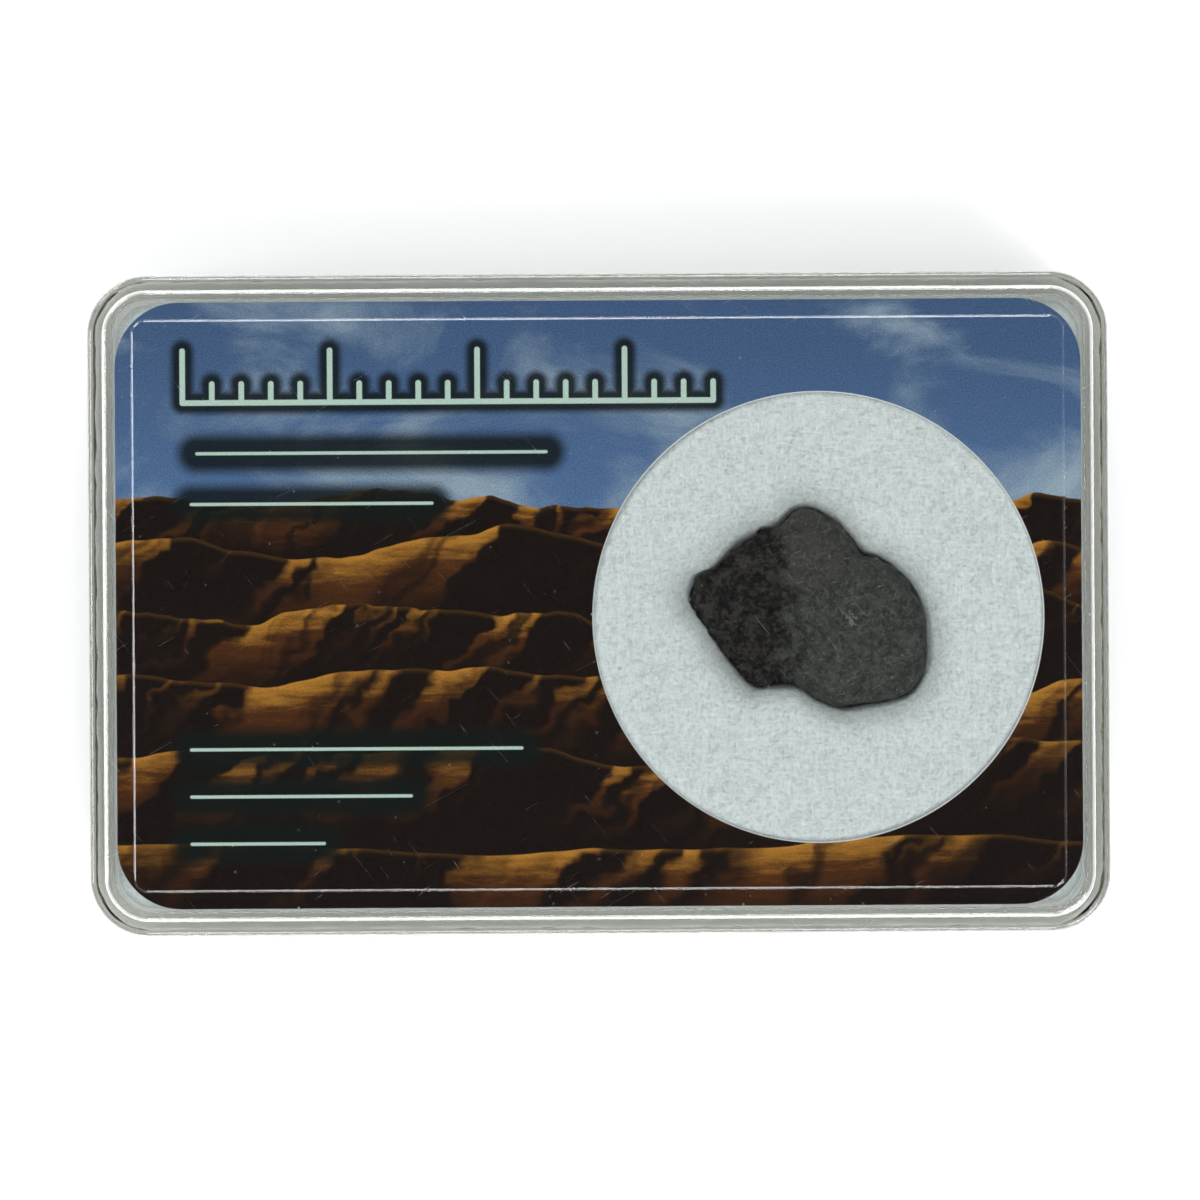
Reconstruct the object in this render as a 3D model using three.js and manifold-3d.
// A chondrite meteorite in a small clear display box, lying in a soft pad behind a printed card.
// Millimetres, +Z up. The box rests on z = 0 and is centred on the Z axis, its long side along X.

import * as THREE from 'three';
import { mergeVertices } from 'three/addons/utils/BufferGeometryUtils.js';
import Module from 'manifold-3d';

// Outside of the closed box.
const BOX_WIDTH = 86.4;
const BOX_DEPTH = 55.9;
const BOX_HEIGHT = 16;
const BOX_CORNER = 5;
const EDGE_ROUND = 0.5;

// The lid slides over a thinner neck of the base and stands on its shoulder.
const LID_WALL = 1.15;
const LID_TOP = 1.2;
const SLIDE_GAP = 0.2;
const NECK_WALL = 0.65;
const FLOOR = 1.2;
const SHOULDER_HEIGHT = 5;
const REST_GAP = 0.3;
const RIM_ROUND = 0.15;

// Low raised panel on the lid, which locates a box stacked on top.
const PANEL_INSET = 3.6;
const PANEL_RISE = 0.6;
const PANEL_CORNER = 1;
const PANEL_CHAMFER = 0.15;

// Printed card with a round window cut by a 1.5 inch punch.
const CARD_THICKNESS = 0.4;
const CARD_CORNER = 5.5;
const WINDOW_DIAMETER = 38.1;
const WINDOW_X = 18.6;
const WINDOW_Y = -1.25;

// Levels and insets that follow from the walls.
const lidTopFace = BOX_HEIGHT - PANEL_RISE;
const lidCeiling = lidTopFace - LID_TOP;
const neckInset = LID_WALL + SLIDE_GAP;
const trayInset = neckInset + NECK_WALL;
const neckRim = lidCeiling - REST_GAP;
const cardTop = lidCeiling - 2 * REST_GAP;
const cardBottom = cardTop - CARD_THICKNESS;
const padTop = cardBottom - REST_GAP;
const padBottom = FLOOR + REST_GAP;

// The stone: its widest level, how far it goes up and down from there, and the flat it lies on.
const STONE_X = 18.1;
const STONE_Y = -0.7;
const STONE_MIDDLE = 10.6;
const STONE_RISE = 3.4;
const STONE_DROP = 7.2;
const STONE_REST_DROP = 6;
const STONE_RELIEF = 0.22;
const STONE_COLUMNS = 84;
const STONE_ROWS = 24;

// The pad's pocket: its gap round the stone, and the dish that the stone presses into the pad.
const POCKET_GAP = 0.35;
const DISH_DEPTH = 1.6;
const DISH_WIDTH = 5;

// Outline of the stone at its widest, seen from above, anticlockwise round its centre.
const STONE_OUTLINE = [
  [9.4, 0.2], [8.4, 2.3], [7.0, 3.6], [5.6, 4.5], [4.4, 4.8], [3.1, 6.4], [1.7, 7.8], [0, 8.7],
  [-1.5, 8.4], [-2.8, 7.2], [-4.8, 6.3], [-6.6, 5.0], [-8.2, 3.5], [-9.5, 2.9], [-10.3, 1.6],
  [-9.9, 0.2], [-8.7, -1.4], [-7.4, -3.7], [-6.0, -5.4], [-4.6, -6.4], [-3.1, -6.2], [-1.3, -6.3],
  [0.4, -7.4], [2.5, -8.2], [4.5, -8.0], [6.6, -7.6], [8.4, -6.8], [9.5, -4.9], [9.7, -2.4],
];

// Broken faces on top: where each looks, how steep it is, and its height over the middle.
const STONE_FACES = [
  { heading: -20, slope: 0.04, height: 3.0 },
  { heading: 188, slope: 0.27, height: 3.7 },
  { heading: 80, slope: 0.3, height: 4.3 },
  { heading: 255, slope: 0.26, height: 4.0 },
];
const FACE_SHARPNESS = 9;

// Outline of the box drawn in from its outside by an inset, with a corner of its own if given.
function boxOutline(inset, corner = BOX_CORNER - inset) {
  const x = BOX_WIDTH / 2 - inset;
  const y = BOX_DEPTH / 2 - inset;
  const shape = new THREE.Shape();
  shape.absarc(x - corner, y - corner, corner, 0, Math.PI / 2);
  shape.absarc(corner - x, y - corner, corner, Math.PI / 2, Math.PI);
  shape.absarc(corner - x, corner - y, corner, Math.PI, 1.5 * Math.PI);
  shape.absarc(x - corner, corner - y, corner, 1.5 * Math.PI, 2 * Math.PI);
  shape.closePath();
  return shape;
}

// One ring of points at height z, for ringSolid.
function boxRing(z, inset, corner) {
  const segments = 8;
  const points = boxOutline(inset, corner).getPoints(segments);
  points.pop();
  return points.map((p) => new THREE.Vector3(p.x, p.y, z));
}

// Closed solid through rings of equal point counts. Both end rings close to their own centres.
function ringSolid(rings) {
  const count = rings[0].length;
  const positions = [];
  const index = [];
  for (const ring of rings) {
    for (const p of ring) positions.push(p.x, p.y, p.z);
  }
  for (const ring of [rings[0], rings.at(-1)]) {
    const centre = new THREE.Vector3();
    for (const p of ring) centre.addScaledVector(p, 1 / count);
    positions.push(centre.x, centre.y, centre.z);
  }
  const firstPole = rings.length * count;
  const lastRow = (rings.length - 1) * count;
  for (let i = 0; i < count; i++) {
    const next = (i + 1) % count;
    index.push(firstPole, next, i, firstPole + 1, lastRow + i, lastRow + next);
    for (let row = 0; row < rings.length - 1; row++) {
      const low = row * count;
      const high = low + count;
      index.push(low + i, low + next, high + next, low + i, high + next, high + i);
    }
  }
  const geometry = new THREE.BufferGeometry();
  geometry.setAttribute('position', new THREE.Float32BufferAttribute(positions, 3));
  geometry.setIndex(index);
  return geometry;
}

// Lower tray: up the outside, in over the shoulder, up the neck, and down inside to the floor.
function baseGeometry() {
  return ringSolid([
    boxRing(0, EDGE_ROUND),
    boxRing(EDGE_ROUND * 0.3, EDGE_ROUND * 0.3),
    boxRing(EDGE_ROUND, 0),
    boxRing(SHOULDER_HEIGHT, 0),
    boxRing(SHOULDER_HEIGHT, neckInset),
    boxRing(neckRim - RIM_ROUND, neckInset),
    boxRing(neckRim, neckInset + RIM_ROUND),
    boxRing(neckRim, trayInset - RIM_ROUND),
    boxRing(neckRim - RIM_ROUND, trayInset),
    boxRing(FLOOR + EDGE_ROUND, trayInset),
    boxRing(FLOOR, trayInset + EDGE_ROUND),
  ]);
}

// Lid: from the ceiling down the inside, out over the rim, up the outside and onto the panel.
function lidGeometry() {
  const rim = SHOULDER_HEIGHT + REST_GAP;
  return ringSolid([
    boxRing(lidCeiling, LID_WALL + EDGE_ROUND),
    boxRing(lidCeiling - EDGE_ROUND * 0.3, LID_WALL + EDGE_ROUND * 0.3),
    boxRing(lidCeiling - EDGE_ROUND, LID_WALL),
    boxRing(rim, LID_WALL),
    boxRing(rim, RIM_ROUND),
    boxRing(rim + RIM_ROUND, 0),
    boxRing(lidTopFace - EDGE_ROUND, 0),
    boxRing(lidTopFace - EDGE_ROUND * 0.3, EDGE_ROUND * 0.3),
    boxRing(lidTopFace, EDGE_ROUND),
    boxRing(lidTopFace, PANEL_INSET, PANEL_CORNER),
    boxRing(BOX_HEIGHT - PANEL_CHAMFER, PANEL_INSET, PANEL_CORNER),
    boxRing(BOX_HEIGHT, PANEL_INSET + PANEL_CHAMFER, PANEL_CORNER - PANEL_CHAMFER),
  ]);
}

// Soft minimum of positive heights: it rounds the edges where broken faces meet.
function softLeast(heights) {
  const sum = heights.reduce((total, h) => total + h ** -FACE_SHARPNESS, 0);
  return sum ** (-1 / FACE_SHARPNESS);
}

// Height of a broken face over the middle of the stone, at a place given from its centre.
function faceHeight({ heading, slope, height }, x, y) {
  const turn = THREE.MathUtils.degToRad(heading);
  const least = 0.2;
  return Math.max(least, height - slope * (x * Math.cos(turn) + y * Math.sin(turn)));
}

// Low swells and hollows over the whole stone, between -1 and 1.
function relief(x, y, z) {
  const broad = Math.sin(0.9 * x + 0.5 * y + 1.7) * Math.sin(1.1 * y - 0.7 * z + 0.4);
  const narrow = Math.sin(1.9 * x - 1.3 * y + 0.6 * z) * Math.sin(1.4 * z + 1.7 * y + 2.1);
  return 0.65 * broad + 0.35 * narrow;
}

// The stone as rings from its underside to its top. It is a rounded block on the outline above,
// with its top cut by the broken faces and its underside by the flat that it lies on.
function stoneRings() {
  const corners = STONE_OUTLINE.map(([x, y]) => new THREE.Vector3(x, y, 0));
  const outline = new THREE.CatmullRomCurve3(corners, true).getSpacedPoints(STONE_COLUMNS);
  outline.pop();
  const meanRadius = outline.reduce((total, p) => total + p.length() / outline.length, 0);
  const rings = [];
  for (let row = 1; row < STONE_ROWS; row++) {
    const latitude = Math.PI * (row / STONE_ROWS - 0.5);
    const reach = Math.cos(latitude) ** 0.7;
    const lift = Math.abs(Math.sin(latitude));
    rings.push(outline.map((p) => {
      const smoothing = 0.5 * (1 - reach);
      const spread = reach * (1 + smoothing * (meanRadius / p.length() - 1));
      const x = p.x * spread;
      const y = p.y * spread;
      let z = 0;
      if (latitude > 0) {
        z = softLeast([STONE_RISE * lift, ...STONE_FACES.map((face) => faceHeight(face, x, y))]);
      } else if (latitude < 0) {
        z = -softLeast([STONE_DROP * lift, STONE_REST_DROP]);
      }
      const point = new THREE.Vector3(x, y, z);
      const away = point.clone().normalize();
      point.addScaledVector(away, STONE_RELIEF * relief(x, y, z));
      return point.add(new THREE.Vector3(STONE_X, STONE_Y, STONE_MIDDLE));
    }));
  }
  return rings;
}

// Room for the stone in the pad: its lower half made larger by the gap, then a short way straight
// up to the dish, which opens in two slopes to the top of the pad.
function pocketRings() {
  const solid = ringSolid(stoneRings());
  solid.computeVertexNormals();
  const position = solid.getAttribute('position');
  const normal = solid.getAttribute('normal');
  const middleRow = STONE_ROWS / 2 - 1;
  const rings = [];
  for (let row = 0; row <= middleRow; row++) {
    const ring = [];
    for (let i = row * STONE_COLUMNS; i < (row + 1) * STONE_COLUMNS; i++) {
      const out = new THREE.Vector3().fromBufferAttribute(normal, i);
      ring.push(new THREE.Vector3().fromBufferAttribute(position, i).addScaledVector(out, POCKET_GAP));
    }
    rings.push(ring);
  }
  const mouth = rings[middleRow];
  const widened = (z, spread) => mouth.map((p) => {
    const out = new THREE.Vector3(p.x - STONE_X, p.y - STONE_Y, 0).normalize();
    return new THREE.Vector3(p.x, p.y, z).addScaledVector(out, spread);
  });
  const clear = 1;
  rings.push(
    widened(padTop - DISH_DEPTH, 0),
    widened(padTop - DISH_DEPTH * 0.3, DISH_WIDTH * 0.4),
    widened(padTop, DISH_WIDTH),
    widened(padTop + clear, DISH_WIDTH),
  );
  return rings;
}

const wasm = await Module();
wasm.setup();

// Closed three.js geometry as a manifold-3d solid.
function toManifold(geometry) {
  const bare = geometry.clone();
  bare.deleteAttribute('normal');
  bare.deleteAttribute('uv');
  const merged = mergeVertices(bare);
  const vertProperties = new Float32Array(merged.getAttribute('position').array);
  const triVerts = new Uint32Array(merged.index.array);
  return new wasm.Manifold(new wasm.Mesh({ numProp: 3, vertProperties, triVerts }));
}

// A manifold-3d solid as three.js geometry.
function fromManifold(solid) {
  const mesh = solid.getMesh();
  const geometry = new THREE.BufferGeometry();
  geometry.setAttribute('position', new THREE.BufferAttribute(mesh.vertProperties, 3));
  geometry.setIndex(new THREE.BufferAttribute(mesh.triVerts, 1));
  return geometry;
}

// Soft pad that fills the tray, with the pocket that the stone lies in.
function padGeometry() {
  const block = new THREE.ExtrudeGeometry(boxOutline(trayInset + REST_GAP), {
    depth: padTop - padBottom,
    bevelEnabled: false,
    curveSegments: 8,
  });
  block.translate(0, 0, padBottom);
  return fromManifold(toManifold(block).subtract(toManifold(ringSolid(pocketRings()))));
}

// Card that lies on the pad, inside the neck of the base, with its round window.
function cardGeometry() {
  const cardInset = trayInset + SLIDE_GAP;
  const shape = boxOutline(cardInset, CARD_CORNER);
  const hole = new THREE.Path();
  hole.absarc(WINDOW_X, WINDOW_Y, WINDOW_DIAMETER / 2, 0, 2 * Math.PI, true);
  shape.holes.push(hole);
  const geometry = new THREE.ExtrudeGeometry(shape, {
    depth: CARD_THICKNESS,
    bevelEnabled: false,
    curveSegments: 32,
  });
  geometry.translate(0, 0, cardBottom);
  return geometry;
}

const clearPlastic = { color: 0xdde3df, roughness: 0.12, transparent: true, opacity: 0.3 };

// One named mesh for each piece, each with its own material.
function piece(name, geometry, finish) {
  const material = new THREE.MeshStandardMaterial({ metalness: 0, ...finish });
  const mesh = new THREE.Mesh(geometry, material);
  mesh.name = name;
  return mesh;
}

const part = new THREE.Group();
part.add(
  piece('box_base', baseGeometry(), clearPlastic),
  piece('box_lid', lidGeometry(), clearPlastic),
  piece('foam_pad', padGeometry(), { color: 0xd8dedd, roughness: 0.95 }),
  piece('label_card', cardGeometry(), { color: 0x5a4630, roughness: 0.5 }),
  piece('meteorite', ringSolid(stoneRings()), { color: 0x33352f, roughness: 0.8 }),
);

export default part;
